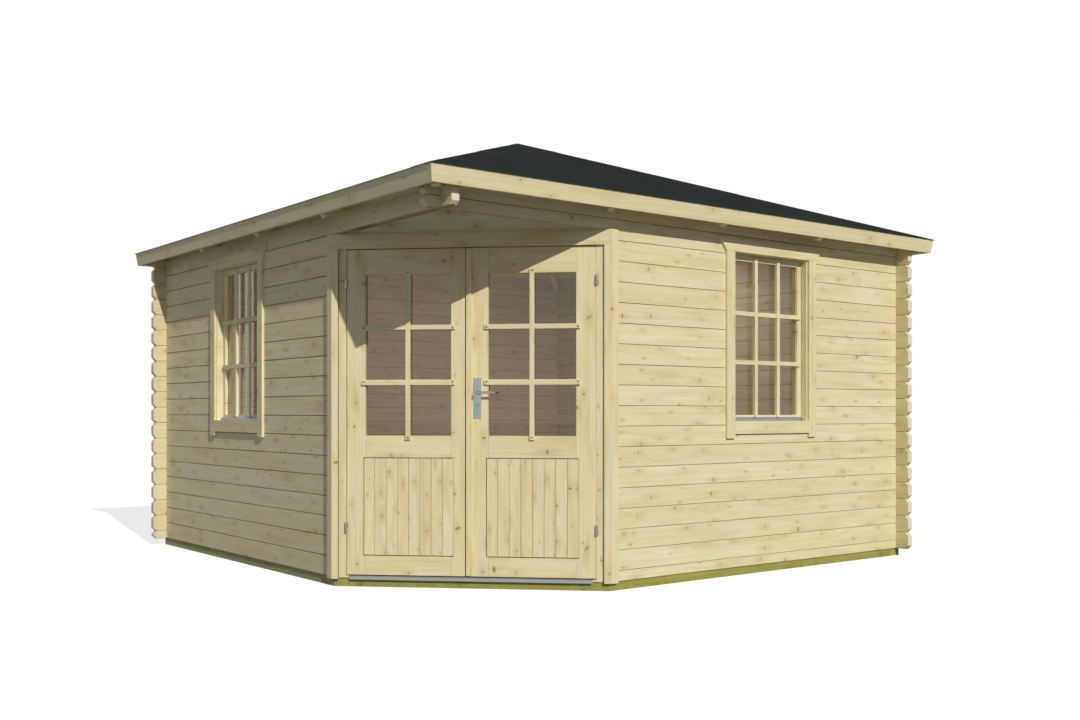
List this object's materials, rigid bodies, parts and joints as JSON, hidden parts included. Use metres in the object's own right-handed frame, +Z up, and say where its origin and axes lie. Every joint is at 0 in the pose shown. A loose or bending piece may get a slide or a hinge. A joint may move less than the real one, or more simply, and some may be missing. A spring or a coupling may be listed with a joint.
{
  "type": "log cabin",
  "caption": "Garden log cabin with a glazed double door across its cut-off corner, barred windows, crossed log ends and a low pyramid roof covered in felt.",
  "frame": {"origin": "middle of the square roof's plan, on the ground", "axes": "Z up, the door front faces -Y, and the other four walls stand at 45 degrees to X and Y"},
  "size_m": [5.783, 5.783, 2.9118],
  "materials": {
    "treated_timber": "pressure-treated, green tint, rough sawn",
    "floor_pine": "planed, untreated",
    "wall_pine": "planed, untreated, knotty",
    "trim_pine": "planed, untreated",
    "joinery_pine": "planed, untreated",
    "roof_pine": "planed, untreated",
    "glass": "clear, clean",
    "aluminium": "anodised, satin",
    "steel": "zinc grey, satin",
    "roofing_felt": "bitumen felt with fine mineral grit"
  },
  "bodies": {
    "cabin": {"foundation_beams": "treated_timber", "floor_joists": "treated_timber", "floor_boards": "floor_pine", "left_wall_odd_courses": "wall_pine", "left_wall_even_courses": "wall_pine", "right_wall_odd_courses": "wall_pine", "right_wall_even_courses": "wall_pine", "back_left_wall_odd_courses": "wall_pine", "back_left_wall_even_courses": "wall_pine", "back_right_wall_odd_courses": "wall_pine", "back_right_wall_even_courses": "wall_pine", "front_wall_log": "wall_pine", "front_gable": "trim_pine", "door_posts": "joinery_pine", "door_head": "joinery_pine", "threshold": "joinery_pine", "threshold_strip": "aluminium", "door_trims": "trim_pine", "frame_hinges": "steel", "window_frames": "joinery_pine", "window_sashes": "joinery_pine", "window_glass": "glass", "window_bars": "joinery_pine", "window_drips": "aluminium", "window_trims": "trim_pine", "hip_rafters": "roof_pine", "slope_rafters": "roof_pine", "crown_block": "roof_pine", "eave_fillers": "trim_pine", "roof_boards": "roof_pine", "roof_felt": "roofing_felt", "fascia_boards": "trim_pine"},
    "left_door": {"left_leaf": "joinery_pine", "left_leaf_panel": "joinery_pine", "left_leaf_glass": "glass", "left_leaf_bars": "joinery_pine", "left_leaf_hinges": "steel"},
    "right_door": {"right_leaf": "joinery_pine", "right_leaf_panel": "joinery_pine", "right_leaf_glass": "glass", "right_leaf_bars": "joinery_pine", "cover_strip": "trim_pine", "right_leaf_hinges": "steel", "handle_plates": "steel"},
    "lever": {"door_lever": "steel"}
  },
  "joints": [
    {"name": "left_door_hinge", "type": "hinge", "parent": "cabin", "child": "left_door", "pos_m": [-0.708, -1.88322, 1], "axis": [0, 0, -1], "range_deg": [0, 110]},
    {"name": "right_door_hinge", "type": "hinge", "parent": "cabin", "child": "right_door", "pos_m": [0.708, -1.88322, 1], "axis": [0, 0, 1], "range_deg": [0, 110]},
    {"name": "lever_turn", "type": "hinge", "parent": "right_door", "child": "lever", "pos_m": [0.043, -1.87522, 1.093], "axis": [0, 1, 0], "range_deg": [0, 45], "stiffness_Nm_per_rad": 1.5, "springref_deg": -28.65}
  ]
}
